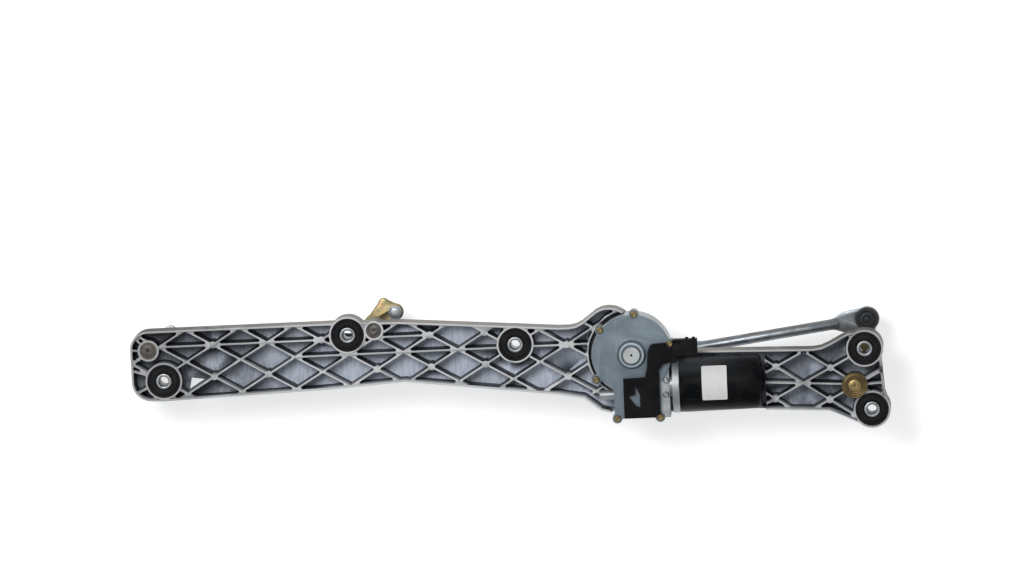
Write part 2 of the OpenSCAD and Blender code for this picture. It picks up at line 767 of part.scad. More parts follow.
module ball_stud(z0, z1) {
    up = z1 > z0 ? 1 : -1;
    neck = abs(z1 - z0);
    proud = up > 0 ? 0.6 : 0;
    translate([0, 0, up > 0 ? z0 - lever_t - proud : z1]) cylinder(r = 4.5, h = neck + lever_t + proud);
    translate([0, 0, up > 0 ? z0 : z0 - 2.4]) cylinder(r = 7, h = 2.4);
    translate([0, 0, z1]) sphere(d = ball_d);
}

module right_ball_stud() {
    color("silver") at(right_ball) ball_stud(right_lever_top, rod1_z);
}

module right_retainer() {
    color("darkgoldenrod") at(right_axis, disc_gap) difference() {
        union() {
            cylinder(d = disc_d, h = 1.6);
            cylinder(d = disc_d - 5, h = 2.8);
            cylinder(r = right_r + 2.2, h = 4.6);
        }
        translate([0, 0, -1]) cylinder(r = right_r + fit, h = 8);
    }
}

// PUSH RODS

// tube along X with a flattened ring at each end
module flat_end(r) {
    cylinder(r = r + 3.2, h = flat_t);
    linear_extrude(flat_t) polygon([
        [0, -r - 2.4], [flat_len - 15, -r - 1.2], [flat_len - 4, -rod_d / 2 - 0.6],
        [flat_len + 4, -rod_d / 2 + 1.5], [flat_len + 4, rod_d / 2 - 1.5],
        [flat_len - 4, rod_d / 2 + 0.6], [flat_len - 15, r + 1.2], [0, r + 2.4]
    ]);
}

module push_rod(l, r_end0, r_end1) {
    difference() {
        union() {
            translate([flat_len - 8, 0, 0]) rotate([0, 90, 0])
                cylinder(d = rod_d, h = l - 2 * flat_len + 16);
            translate([0, 0, -flat_t / 2]) flat_end(r_end0);
            translate([l, 0, -flat_t / 2]) rotate([0, 0, 180]) flat_end(r_end1);
        }
        translate([0, 0, -rod_d]) cylinder(r = r_end0 + fit, h = 2 * rod_d);
        translate([l, 0, -rod_d]) cylinder(r = r_end1 + fit, h = 2 * rod_d);
    }
}

// plain cap that covers the crank's ball from below
module pin_cap(z_top, z_mid) {
    r = socket_d / 2 - 2.5;
    rotate_extrude() polygon([
        [0, z_top], [socket_d / 2, z_top], [socket_d / 2, z_mid + flat_t / 2 + 0.1],
        [r, z_mid + flat_t / 2 + 0.1], [r, z_top - cap_h + 1.5],
        [r - 2.5, z_top - cap_h], [0, z_top - cap_h]
    ]);
}

// domed socket around a ball; the stud enters from the open side
module ball_socket() {
    r = socket_d / 2;
    difference() {
        rotate_extrude() polygon(concat(
            [
                [0, -8], [r - 3.5, -8], [r - 2.5, -7],
                [r - 2.5, flat_t / 2 + 0.1], [r, flat_t / 2 + 0.1], [r, 5]
            ],
            [for (i = [1 : 6]) [r * cos(15 * i), 5 + 6 * sin(15 * i)]]
        ));
        sphere(d = ball_d + 2 * run_gap);
        translate([0, 0, -20]) cylinder(r = 6, h = 20);
    }
}

module right_rod() {
    color("gray") at(crank_pin, rod1_z) rotate([0, 0, right_rod_dir])
        push_rod(right_rod_len, socket_d / 2 - 2.5, socket_d / 2 - 2.5);
}

module right_rod_cap() {
    color([0.07, 0.07, 0.07]) at(crank_pin) pin_cap(cap1_top, rod1_z);
}

module right_rod_socket() {
    color([0.07, 0.07, 0.07]) at(right_ball, rod1_z) ball_socket();
}

module left_rod() {
    color("gray") at(input_ball, rod2_z) rotate([0, 0, left_rod_dir])
        push_rod(left_rod_len, socket_d / 2 - 2.5, socket_d / 2 - 2.5);
}

module left_rod_cap() {
    color([0.07, 0.07, 0.07]) at(crank_pin) pin_cap(cap2_top, rod2_z);
}

module left_rod_socket() {
    color([0.07, 0.07, 0.07]) at(input_ball, rod2_z) rotate([180, 0, 0]) ball_socket();
}

// IDLER BODY

module idler_shaft() {
    color("dimgray") at(idler_axis, bell_bot - 1) difference() {
        cylinder(r = idler_r, h = -bell_bot + 1 - 1.5);
        translate([0, 0, -bell_bot - 2]) cylinder(r = 1, h = 4);
    }
}

module bell_crank() {
    color("goldenrod") at(idler_axis, bell_bot) difference() {
        linear_extrude(lever_t) {
            circle(14);
            rotate(input_dir) taper2d(input_arm, 14, 11.5);
            rotate(output_dir) taper2d(output_arm, 14, 9.2);
            rotate(output_dir + 36) taper2d(output_arm, 14, 6);
            polygon([
                [0, 0],
                polar([0, 0], output_arm + 8, output_dir + 5),
                polar([0, 0], output_arm + 5.4, output_dir + 33)
            ]);
        }
        translate([0, 0, -1]) cylinder(r = idler_r + fit, h = lever_t + 2);
        rotate([0, 0, input_dir]) translate([input_arm, 0, -1]) cylinder(r = 4.5 + fit, h = lever_t + 2);
        rotate([0, 0, output_dir]) translate([output_arm, 0, -1])
            cylinder(r = pin_d / 2 + fit, h = lever_t + 2);
    }
}

module input_ball_stud() {
    color("silver") at(input_ball) ball_stud(bell_bot, rod2_z);
}

module headed_pin(z_low) {
    translate([0, 0, z_low]) cylinder(d = pin_d, h = pin_head_top - z_low - 0.4);
    translate([0, 0, bar_top + pass_gap])
        cylinder(r1 = pin_d / 2 + 2.2, r2 = pin_d / 2 + 1, h = pin_head_t);
}

module bell_link_pin() {
    color("gainsboro") at(link_pin) headed_pin(bell_bot - 0.6);
}

module idler_ring() {
    color([0.2, 0.2, 0.2]) at(idler_axis, -4 + pass_gap) ring(idler_r + 1.7, idler_r + fit, 1.2);
}

// CONNECTING ROD BODY

module connecting_rod() {
    low = [0, -neck_drop];
    far = left_pin - link_pin;
    color("gray") at(link_pin, bar_bot) difference() {
        linear_extrude(bar_t) {
            circle(r = bar_w / 2 + 2);
            at(far) circle(r = pin_d / 2 + 3.4);
            translate([-bar_w / 2 + 0.4, -neck_drop]) square([bar_w - 0.8, neck_drop]);
            at(low) circle(d = bar_w);
            at(low) rotate(angle_of(low, far)) translate([0, -bar_w / 2 + 0.4])
                square([norm(far - low), bar_w - 0.8]);
        }
        translate([0, 0, -1]) cylinder(r = pin_d / 2 + run_gap, h = bar_t + 2);
        at(far, -1) cylinder(r = pin_d / 2 + run_gap, h = bar_t + 2);
    }
}

// LEFT SPINDLE BODY

module left_spindle() {
    spindle(left_axis, left_r, 0.6);
}

module left_lever() {
    color("goldenrod") at(left_axis, bell_bot) rotate([0, 0, output_dir]) difference() {
        arm(output_arm, 14, 7.4, lever_t);
        translate([0, 0, -1]) cylinder(r = left_r + fit, h = lever_t + 2);
        translate([output_arm, 0, -1]) cylinder(r = pin_d / 2 + fit, h = lever_t + 2);
    }
}

module left_link_pin() {
    color("gainsboro") at(left_pin) headed_pin(bell_bot - 0.6);
}

module left_ring() {
    color([0.2, 0.2, 0.2]) at(left_axis, -1.5 + pass_gap) ring(left_r + 1.7, left_r + fit, 1.2);
}

frame_casting();
rubber_bush(bush_left);  // rubber_bush_left
rubber_bush(bush_inner);  // rubber_bush_inner
rubber_bush(origin_bush);  // rubber_bush_centre
rubber_bush(bush_upper);  // rubber_bush_upper
rubber_bush(bush_lower);  // rubber_bush_lower
bush_sleeve(bush_left);  // bush_sleeve_left
bush_sleeve(bush_inner);  // bush_sleeve_inner
bush_sleeve(origin_bush);  // bush_sleeve_centre
bush_sleeve(bush_upper);  // bush_sleeve_upper
bush_sleeve(bush_lower);  // bush_sleeve_lower
right_bearings();
left_bearings();
idler_bearings();
gear_housing();
gear_cover();
cover_screws();
output_bearing();
connector_cover();
connector_pins();
park_contacts();
motor_can();
can_screws();
field_magnets();
armature_bearings();
brush_plate();
carbon_brushes();
motor_bolts();
worm_wheel();
contact_disc();
output_shaft();
crank_arm();
crank_nut();
crank_ball_stud();
crank_boot();
armature_shaft();
worm();
armature_core();
commutator();
armature_windings();
right_spindle();
right_lever();
right_ball_stud();
right_retainer();
right_rod();
right_rod_socket();
right_rod_cap();
left_rod();
left_rod_socket();
left_rod_cap();
idler_shaft();
bell_crank();
input_ball_stud();
bell_link_pin();
idler_ring();
connecting_rod();
left_spindle();
left_lever();
left_link_pin();
left_ring();
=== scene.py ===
import json
import math

import bmesh
import bpy
from mathutils import Matrix, Vector
from mathutils.bvhtree import BVHTree


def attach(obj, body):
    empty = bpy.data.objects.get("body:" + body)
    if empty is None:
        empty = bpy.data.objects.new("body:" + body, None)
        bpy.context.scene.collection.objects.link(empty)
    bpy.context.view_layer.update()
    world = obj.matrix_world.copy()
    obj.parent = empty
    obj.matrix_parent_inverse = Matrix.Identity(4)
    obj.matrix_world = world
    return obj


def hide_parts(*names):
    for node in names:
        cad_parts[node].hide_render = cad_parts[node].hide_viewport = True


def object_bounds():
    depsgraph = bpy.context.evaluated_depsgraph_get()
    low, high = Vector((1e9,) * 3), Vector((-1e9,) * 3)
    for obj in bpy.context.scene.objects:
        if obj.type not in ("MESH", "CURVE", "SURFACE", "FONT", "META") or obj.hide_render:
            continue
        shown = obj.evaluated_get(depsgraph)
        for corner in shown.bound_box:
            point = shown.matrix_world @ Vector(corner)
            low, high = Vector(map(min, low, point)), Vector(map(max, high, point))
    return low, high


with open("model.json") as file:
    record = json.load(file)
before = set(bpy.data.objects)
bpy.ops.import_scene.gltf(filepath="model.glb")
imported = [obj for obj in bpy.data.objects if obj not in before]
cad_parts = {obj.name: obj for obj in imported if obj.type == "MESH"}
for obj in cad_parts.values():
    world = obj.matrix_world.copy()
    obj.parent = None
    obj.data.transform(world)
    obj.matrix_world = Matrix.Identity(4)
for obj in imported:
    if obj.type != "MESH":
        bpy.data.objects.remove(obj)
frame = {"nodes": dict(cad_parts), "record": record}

cad_low, cad_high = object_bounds()
MM = 0.001

# Places in millimetres, as in the part's source
BUSH_NAMES = ("left", "inner", "centre", "upper", "lower")
BUSHES = [(-386.7, -40.8), (-184.3, 10.2), (0.0, 0.0), (383.2, -4.2), (391.5, -71.1)]
BUSH_SEAT_R = 17.5
RIGHT_AXIS = (372.5, -44.6)
DRAIN, DRAIN_R = (-353.7, -44.6), 11.5
POCKET_FLOOR = -31.0
MOTOR_AXIS = (128.4, -9.2)
MOTOR_SLOPE = math.radians(2.2)
WORM_DIST, WORM_Z = 36.0, 2.0
CAN_R, CAN_X0 = 29.7, 51.0
COVER_TOP, HOUSING_TOP = 17.0, 15.0
SCREWS = [(-33.7, 28.3), (4, 44.1), (42.5, 10.6), (-39.7, -26.2), (-18.3, -70), (28.8, -70)]
FLANGE_SCREWS = [(36.4, -30), (36, -45.6)]
HEAD_GAP = 0.02
NUBS_X, NUBS_Y, NUBS_Z = (61.3, 68.8), 15.9, 26.5


def in_motor(x, y, z):
    """A point of the motor's own axes, in millimetres, as a place in metres."""
    c, s = math.cos(MOTOR_SLOPE), math.sin(MOTOR_SLOPE)
    return Vector((MOTOR_AXIS[0] + c * x - s * y, MOTOR_AXIS[1] + s * x + c * y, z)) * MM


# Node trees

def srgb(text):
    """A hex colour as linear values."""
    parts = [int(text[i:i + 2], 16) / 255 for i in (1, 3, 5)]
    return tuple(p / 12.92 if p <= 0.04045 else ((p + 0.055) / 1.055) ** 2.4 for p in parts) + (1.0,)


class Tree:
    """Short calls for building a shader tree."""

    def __init__(self, tree):
        self.tree = tree

    def node(self, kind, inputs=None, **settings):
        made = self.tree.nodes.new(kind)
        for key, value in settings.items():
            setattr(made, key, value)
        for key, value in (inputs or {}).items():
            self.put(made.inputs[key], value)
        return made

    def put(self, socket, value):
        if isinstance(value, bpy.types.NodeSocket):
            self.tree.links.new(value, socket)
        else:
            socket.default_value = value

    def math(self, operation, a, b=0.0, clamp=False):
        made = self.tree.nodes.new("ShaderNodeMath")
        made.operation = operation
        made.use_clamp = clamp
        self.put(made.inputs[0], a)
        self.put(made.inputs[1], b)
        return made.outputs[0]

    def spread(self, value, low, high, to_low=0.0, to_high=1.0):
        made = self.node("ShaderNodeMapRange", {
            "Value": value, "From Min": low, "From Max": high, "To Min": to_low, "To Max": to_high})
        made.interpolation_type = "SMOOTHSTEP"
        return made.outputs["Result"]

    def mix(self, amount, a, b, blend="MIX"):
        made = self.tree.nodes.new("ShaderNodeMix")
        made.data_type = "RGBA"
        made.blend_type = blend
        self.put(made.inputs[0], amount)
        self.put(made.inputs[6], a)
        self.put(made.inputs[7], b)
        return made.outputs[2]

    def scaled(self, place, factors):
        return self.node("ShaderNodeVectorMath", {0: place, 1: factors}, operation="MULTIPLY").outputs[0]

    def noise(self, place, scale, detail=3.0, rough=0.55):
        return self.node("ShaderNodeTexNoise", {
            "Vector": place, "Scale": scale, "Detail": detail, "Roughness": rough}).outputs["Fac"]


def shader_group(name, inputs, outputs):
    tree = bpy.data.node_groups.new(name, "ShaderNodeTree")
    for label, kind, value in inputs:
        socket = tree.interface.new_socket(label, in_out="INPUT", socket_type=kind)
        if value is not None:
            socket.default_value = value
    for label, kind in outputs:
        tree.interface.new_socket(label, in_out="OUTPUT", socket_type=kind)
    t = Tree(tree)
    return t, t.node("NodeGroupInput").outputs, t.node("NodeGroupOutput").inputs


FLOAT, COLOUR, VECTOR = "NodeSocketFloat", "NodeSocketColor", "NodeSocketVector"


def make_mottle():
    """Blotches and fine grain of a surface: a colour between two tones, a roughness and a height."""
    t, i, o = shader_group("mottle", [
        ("Vector", VECTOR, None), ("Blotch Scale", FLOAT, 40.0), ("Grain Scale", FLOAT, 900.0),
        ("Dark", COLOUR, (0.1, 0.1, 0.1, 1)), ("Light", COLOUR, (0.5, 0.5, 0.5, 1)),
        ("Rough Low", FLOAT, 0.4), ("Rough High", FLOAT, 0.6)],
        [("Colour", COLOUR), ("Roughness", FLOAT), ("Height", FLOAT)])
    blotch = t.noise(i["Vector"], i["Blotch Scale"], 5.0, 0.6)
    grain = t.noise(i["Vector"], i["Grain Scale"], 3.0, 0.6)
    broad = t.math("MULTIPLY", t.spread(blotch, 0.3, 0.7), 0.65)
    tone = t.math("ADD", broad, t.math("MULTIPLY", grain, 0.35))
    t.put(o["Colour"], t.mix(tone, i["Dark"], i["Light"]))
    spanned = t.math("SUBTRACT", i["Rough High"], i["Rough Low"])
    t.put(o["Roughness"], t.math("ADD", i["Rough Low"], t.math("MULTIPLY", tone, spanned)))
    t.put(o["Height"], t.math("ADD", grain, t.math("MULTIPLY", blotch, 0.4)))
    return t.tree


def make_scuffs():
    """Fine scratches that lie along one direction, as a mask."""
    t, i, o = shader_group("scuffs", [
        ("Vector", VECTOR, None), ("Scale", FLOAT, 300.0), ("Stretch", VECTOR, (0.05, 1, 1)),
        ("Amount", FLOAT, 0.3)], [("Mask", FLOAT)])
    drawn = t.scaled(i["Vector"], i["Stretch"])
    fine = t.noise(drawn, i["Scale"], 2.0, 0.5)
    where = t.noise(i["Vector"], 55.0, 2.0, 0.5)
    line = t.math("MULTIPLY", t.spread(fine, 0.58, 0.72), t.spread(where, 0.42, 0.62))
    t.put(o["Mask"], t.math("MULTIPLY", line, i["Amount"], clamp=True))
    return t.tree


def make_settled_dirt():
    """Dust and grime specks that collect in patches, as a mask."""
    t, i, o = shader_group("settled dirt", [
        ("Vector", VECTOR, None), ("Patch Scale", FLOAT, 30.0), ("Speck Scale", FLOAT, 700.0),
        ("Amount", FLOAT, 0.5)], [("Mask", FLOAT)])
    patch = t.spread(t.noise(i["Vector"], i["Patch Scale"], 4.0, 0.6), 0.42, 0.68)
    speck = t.spread(t.noise(i["Vector"], i["Speck Scale"], 2.0, 0.6), 0.45, 0.66)
    specks = t.math("MULTIPLY", t.math("MULTIPLY", patch, speck), 0.6)
    both = t.math("ADD", t.math("MULTIPLY", patch, 0.6), specks)
    t.put(o["Mask"], t.math("MULTIPLY", both, i["Amount"], clamp=True))
    return t.tree


MOTTLE, SCUFFS, DIRT = make_mottle(), make_scuffs(), make_settled_dirt()


BUMP_DEPTH = 0.0004


def finish(name, dark, light, metal, rough, blotch=40.0, grain=900.0, bump=0.12, scuff=None,
           scuff_tone="#c9ccce", dirt=None, dirt_tone="#3b3630", shape=None, soft=0.0, gloss=0.5):
    """A finish from the shared groups. shape may change colour and roughness; soft rounds edges, in mm."""
    made = bpy.data.materials.new(name)
    made.use_nodes = True
    made.node_tree.nodes.clear()
    t = Tree(made.node_tree)
    place = t.node("ShaderNodeTexCoord").outputs["Object"]
    mottle = t.node("ShaderNodeGroup", node_tree=MOTTLE)
    for key, value in (
            ("Vector", place), ("Blotch Scale", blotch), ("Grain Scale", grain), ("Dark", srgb(dark)),
            ("Light", srgb(light)), ("Rough Low", rough[0]), ("Rough High", rough[1])):
        t.put(mottle.inputs[key], value)
    colour, roughness, height = (mottle.outputs[k] for k in ("Colour", "Roughness", "Height"))
    if scuff:
        marks = t.node("ShaderNodeGroup", node_tree=SCUFFS)
        scale, stretch, amount = scuff
        for key, value in (("Vector", place), ("Scale", scale), ("Stretch", stretch), ("Amount", amount)):
            t.put(marks.inputs[key], value)
        colour = t.mix(marks.outputs["Mask"], colour, srgb(scuff_tone))
    if shape:
        colour, roughness = shape(t, place, colour, roughness)
    if dirt:
        grime = t.node("ShaderNodeGroup", node_tree=DIRT)
        for key, value in (("Vector", place), ("Patch Scale", dirt[0]), ("Amount", dirt[1])):
            t.put(grime.inputs[key], value)
        colour = t.mix(grime.outputs["Mask"], colour, srgb(dirt_tone))
        roughness = t.math("ADD", roughness, t.math("MULTIPLY", grime.outputs["Mask"], 0.25), clamp=True)
    raised = t.node("ShaderNodeBump", {"Strength": bump, "Distance": BUMP_DEPTH, "Height": height})
    if soft:
        wear_and_sheen = t.node("ShaderNodeBevel", {"Radius": soft * MM}, samples=6)
        t.put(raised.inputs["Normal"], wear_and_sheen.outputs[0])
    shader = t.node("ShaderNodeBsdfPrincipled", {
        "Base Color": colour, "Roughness": roughness, "Normal": raised.outputs["Normal"]})
    shader.inputs["Metallic"].default_value = metal
    shader.inputs["Specular IOR Level"].default_value = gloss
    t.node("ShaderNodeOutputMaterial", {"Surface": shader.outputs[0]})
    made.diffuse_color = srgb(light)
    return made


# Shapes of single finishes

def cast_shape(t, place, colour, roughness):
    """Painted highlights on the pocket floors and rib tops, painted shade on the pocket walls, a browner
    outer wall and a dirty left end.
    """
    split = t.node("ShaderNodeSeparateXYZ", {0: place})
    normal = t.node("ShaderNodeSeparateXYZ", {0: t.node("ShaderNodeTexCoord").outputs["Normal"]})
    level = t.spread(normal.outputs["Z"], 0.25, 0.95)
    high = t.spread(split.outputs["Z"], -0.024, -0.003)
    outer = t.node("ShaderNodeAttribute", attribute_name="outer").outputs["Fac"]
    # Painted shade: the pocket walls darkened toward #282b32; the free outer walls are left out.
    painted_wall_shade = t.math("MULTIPLY", t.math("SUBTRACT", 1.0, level), t.math("SUBTRACT", 1.0, outer))
    colour = t.mix(t.math("MULTIPLY", painted_wall_shade, 0.92), colour, srgb("#282b32"))
    # Painted highlight: the rib tops lightened toward #bbbab7.
    painted_top_light = t.math("MULTIPLY", level, high)
    colour = t.mix(t.math("MULTIPLY", painted_top_light, 0.75), colour, srgb("#bbbab7"))
    # Painted light on the pocket floors: lightened toward #b3bbc9, with streaks of painted sheen toward
    # #d6dce6.
    painted_floor_sheen = t.spread(t.noise(t.scaled(place, (1.0, 0.16, 0.3)), 420.0, 3.0, 0.6), 0.38, 0.66)
    floor = t.math("MULTIPLY", level, t.math("SUBTRACT", 1.0, high))
    colour = t.mix(t.math("MULTIPLY", floor, 0.5), colour, srgb("#b3bbc9"))
    colour = t.mix(t.math("MULTIPLY", t.math("MULTIPLY", floor, painted_floor_sheen), 0.4), colour, srgb("#d6dce6"))
    colour = t.mix(t.math("MULTIPLY", outer, 0.92), colour, srgb("#6f675c"))
    left_end = t.spread(split.outputs["X"], -0.21, -0.36)
    ends = t.math("ADD", left_end, t.spread(split.outputs["X"], 0.21, 0.34, 0.0, 0.85))
    patch = t.noise(place, 32.0, 4.0, 0.6)
    tip = t.spread(split.outputs["X"], -0.30, -0.38, 0.0, 0.85)
    soot = t.math("MULTIPLY", ends, t.math("MAXIMUM", tip, t.spread(patch, 0.3, 0.56)), clamp=True)
    kept = t.math("SUBTRACT", 0.78, t.math("MULTIPLY", painted_top_light, 0.5))
    colour = t.mix(t.math("MULTIPLY", soot, kept), colour, srgb("#26262a"))
    return colour, t.math("ADD", roughness, t.math("MULTIPLY", soot, 0.15), clamp=True)


def turned_shape(t, place, colour, roughness):
    """Fine rings from turning, along the lathe profile."""
    flat = t.node("ShaderNodeUVMap", uv_map="profile").outputs[0]
    along = t.node("ShaderNodeSeparateXYZ", {0: flat}).outputs["Y"]
    rings = t.math("SINE", t.math("MULTIPLY", along, 26.0))
    colour = t.mix(t.spread(rings, -1.0, 1.0, 0.0, 0.22), colour, srgb("#4a4a4a"), "MULTIPLY")
    return colour, t.math("ADD", roughness, t.math("MULTIPLY", rings, 0.05), clamp=True)


def rod_shape(t, place, colour, roughness):
    """Brown dirt along the rod's upper side."""
    normal = t.node("ShaderNodeSeparateXYZ", {0: t.node("ShaderNodeTexCoord").outputs["Normal"]})
    patch = t.spread(t.noise(place, 60.0, 4.0), 0.35, 0.6)
    side = t.math("MULTIPLY", t.spread(normal.outputs["Y"], 0.35, 0.85), patch)
    return t.mix(t.math("MULTIPLY", side, 0.6), colour, srgb("#5d5244")), roughness


def can_shape(t, place, colour, roughness):
    """A painted highlight along the can's top, and darker brown patches low on its sides."""
    split = t.node("ShaderNodeSeparateXYZ", {0: place})
    near_plug = t.spread(split.outputs["X"], 0.26, 0.19)
    # Painted highlight along the can's top, toward #3a3d40, fading out away from the plug.
    wear_and_sheen = t.math("MULTIPLY", t.spread(split.outputs["Y"], -0.034, -0.02), near_plug)
    colour = t.mix(t.math("MULTIPLY", wear_and_sheen, 0.75), colour, srgb("#3a3d40"))
    # Darker brown in patches low on the can's sides, toward #20150f.
    patch = t.spread(t.noise(place, 45.0, 4.0), 0.3, 0.65)
    low = t.math("MULTIPLY", t.spread(split.outputs["Y"], -0.052, -0.074), patch)
    return t.mix(t.math("MULTIPLY", low, 0.5), colour, srgb("#20150f")), roughness


def spindle_shape(t, place, colour, roughness):
    """A bronze upper end over a steel shaft."""
    split = t.node("ShaderNodeSeparateXYZ", {0: place})
    return t.mix(t.spread(split.outputs["Z"], -0.002, 0.001), colour, srgb("#8d7950")), roughness


def cover_shape(t, place, colour, roughness):
    """A bright turned boss in the middle of the cover, with painted shade in the groove around it and a
    painted highlight on the ring outside the groove.
    """
    away = t.node("ShaderNodeVectorMath", {0: place, 1: (MOTOR_AXIS[0] * MM, MOTOR_AXIS[1] * MM, 0)},
                  operation="SUBTRACT").outputs[0]
    flat = t.scaled(away, (1, 1, 0))
    radius = t.node("ShaderNodeVectorMath", {0: flat}, operation="LENGTH").outputs["Value"]
    boss = t.spread(radius, 0.0093, 0.0087)
    groove_shade = t.math("MULTIPLY", t.spread(radius, 0.0088, 0.0094), t.spread(radius, 0.0112, 0.0102))
    ring = t.math("MULTIPLY", t.spread(radius, 0.0112, 0.0122), t.spread(radius, 0.0142, 0.0134))
    colour = t.mix(t.math("MULTIPLY", boss, 0.7), colour, srgb("#b9bdb9"))
    # Painted shade in the groove, toward #2f3638.
    colour = t.mix(t.math("MULTIPLY", groove_shade, 0.8), colour, srgb("#2f3638"))
    # Painted highlight on the ring, toward #b3c1c8.
    return t.mix(t.math("MULTIPLY", ring, 0.5), colour, srgb("#b3c1c8")), roughness


def zinc_shape(t, place, colour, roughness):
    """The green and rose cast of yellow zinc."""
    hue = t.spread(t.noise(place, 120.0, 3.0, 0.6), 0.35, 0.65)
    return t.mix(0.22, colour, t.mix(hue, srgb("#8f9a5e"), srgb("#b98a63"))), roughness


cast_alloy = finish(
    "cast alloy", "#858d9a", "#a9b1bf", 0.3, (0.46, 0.62), 55.0, 1100.0, 0.22, shape=cast_shape,
    soft=0.8)
motor_alloy = finish(
    "bright motor alloy", "#83888b", "#acb0b2", 0.7, (0.36, 0.5), 70.0, 1300.0, 0.15, dirt=(60.0, 0.4),
    dirt_tone="#5b564c", soft=0.7)
cover_plate = finish(
    "grey gear cover plate", "#5b6870", "#737f88", 0.35, (0.4, 0.52), 45.0, 1500.0, 0.08,
    scuff=(500.0, (1.0, 0.08, 1.0), 0.35), scuff_tone="#93a0a8", dirt=(28.0, 0.28), dirt_tone="#4e5558",
    shape=cover_shape)
bush_rubber = finish(
    "bush rubber", "#060708", "#101113", 0.0, (0.55, 0.72), 90.0, 1600.0, 0.3, dirt=(70.0, 0.1),
    dirt_tone="#4a4741", gloss=0.16)
sleeve_steel = finish(
    "turned sleeve steel", "#83868a", "#b1b4b6", 0.9, (0.3, 0.44), 130.0, 1500.0, 0.08,
    dirt=(120.0, 0.35), dirt_tone="#5a554c", shape=turned_shape)
bright_steel = finish(
    "zinc plated steel", "#7f8488", "#a9aeb1", 0.9, (0.3, 0.46), 80.0, 1200.0, 0.1,
    scuff=(420.0, (0.06, 1.0, 1.0), 0.4), dirt=(60.0, 0.3))
rod_steel = finish(
    "rod steel", "#74797d", "#9aa0a5", 0.85, (0.32, 0.46), 60.0, 1100.0, 0.12,
    scuff=(380.0, (0.05, 1.0, 1.0), 0.45), scuff_tone="#c3cad0", dirt=(50.0, 0.4), shape=rod_shape)
spindle_steel = finish(
    "spindle steel", "#7a7772", "#a09d97", 0.9, (0.3, 0.45), 110.0, 1500.0, 0.1, dirt=(90.0, 0.4),
    shape=spindle_shape)
dark_steel = finish(
    "oiled dark steel", "#3f3d3b", "#686562", 0.85, (0.38, 0.55), 120.0, 1400.0, 0.15,
    dirt=(110.0, 0.5), dirt_tone="#221f1c")
bronze_disc = finish(
    "bronze disc", "#56482f", "#786846", 0.85, (0.34, 0.5), 140.0, 1500.0, 0.12, dirt=(120.0, 0.45),
    dirt_tone="#3a3020", shape=turned_shape)
sintered = finish(
    "sintered bearing bronze", "#6a4c2b", "#94703f", 0.8, (0.45, 0.6), 150.0, 1800.0, 0.2)
gold_zinc = finish(
    "yellow zinc", "#5a513c", "#7f7356", 0.85, (0.3, 0.46), 110.0, 1300.0, 0.08,
    scuff=(400.0, (0.1, 1.0, 1.0), 0.35), scuff_tone="#b9b193", dirt=(70.0, 0.4), dirt_tone="#4a3f2a",
    shape=zinc_shape)
black_plastic = finish(
    "moulded black plastic", "#040405", "#090a0c", 0.0, (0.38, 0.52), 60.0, 1700.0, 0.2,
    scuff=(350.0, (1.0, 0.1, 1.0), 0.1), scuff_tone="#3c4044", dirt=(45.0, 0.06), dirt_tone="#4d4a46",
    soft=0.7, gloss=0.09)
socket_plastic = finish(
    "charcoal socket plastic", "#191b1d", "#2c2f32", 0.0, (0.48, 0.62), 80.0, 1500.0, 0.25,
    dirt=(70.0, 0.3), dirt_tone="#4f4c46", gloss=0.3)
can_black = finish(
    "black motor can", "#050607", "#0d0f12", 0.0, (0.3, 0.42), 40.0, 1200.0, 0.05,
    scuff=(300.0, (0.08, 1.0, 1.0), 0.1), scuff_tone="#62676c", dirt=(38.0, 0.08), dirt_tone="#4c4a47",
    shape=can_shape, gloss=0.04)
paper = finish(
    "plain label paper", "#bfc0be", "#d8d8d6", 0.0, (0.5, 0.62), 90.0, 1500.0, 0.08, dirt=(90.0, 0.22),
    dirt_tone="#8d8d88")
nylon = finish(
    "wheel nylon", "#c9c4b0", "#dfdac8", 0.0, (0.45, 0.6), 60.0, 1200.0, 0.1)
contact_brass = finish(
    "contact brass", "#a98744", "#cfae66", 0.9, (0.28, 0.42), 140.0, 1500.0, 0.08)
copper = finish(
    "copper", "#8c5433", "#b87850", 0.9, (0.34, 0.5), 140.0, 1700.0, 0.15)
magnet = finish(
    "field magnet", "#2f3032", "#48494c", 0.2, (0.55, 0.7), 90.0, 1400.0, 0.25)
brown_plastic = finish(
    "brown brush plate", "#4a3120", "#694730", 0.0, (0.5, 0.65), 80.0, 1300.0, 0.15)
carbon = finish(
    "brush carbon", "#1d1d1f", "#333336", 0.1, (0.6, 0.75), 120.0, 1800.0, 0.2)
SLOT_FINISH = {
    "cast_aluminium": motor_alloy, "rubber": bush_rubber, "steel": bright_steel, "dark_steel": dark_steel,
    "bronze": sintered, "grey_cover": cover_plate, "gold_zinc": gold_zinc, "black_plastic": black_plastic,
    "contact_brass": contact_brass, "black_can": can_black, "magnet": magnet,
    "brown_plastic": brown_plastic,
    "carbon": carbon, "white_plastic": nylon, "copper": copper}
for part in frame["record"]["subparts"]:
    shown = frame["nodes"][part["node"]]
    shown.data.materials.clear()
    shown.data.materials.append(SLOT_FINISH[part["material_slot"]])
NODE_SLOT = {part["node"]: part["material_slot"] for part in frame["record"]["subparts"]}
NODE_BODY = {n: b for b, members in frame["record"]["behaviour"]["bodies"].items() for n in members}


# Meshes

def piece_of(name, bm, surface, smooth=35.0):
    """A bmesh as a finished object at the origin."""
    mesh = bpy.data.meshes.new(name)
    bm.to_mesh(mesh)
    bm.free()
    mesh.materials.append(surface)
    mesh.shade_smooth()
    mesh.set_sharp_from_angle(angle=math.radians(smooth))
    made = bpy.data.objects.new(name, mesh)
    bpy.context.scene.collection.objects.link(made)
    return made


def fit_to(made, body, slot, *nodes):
    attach(made, body)
    if nodes:
        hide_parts(*nodes)
    return made


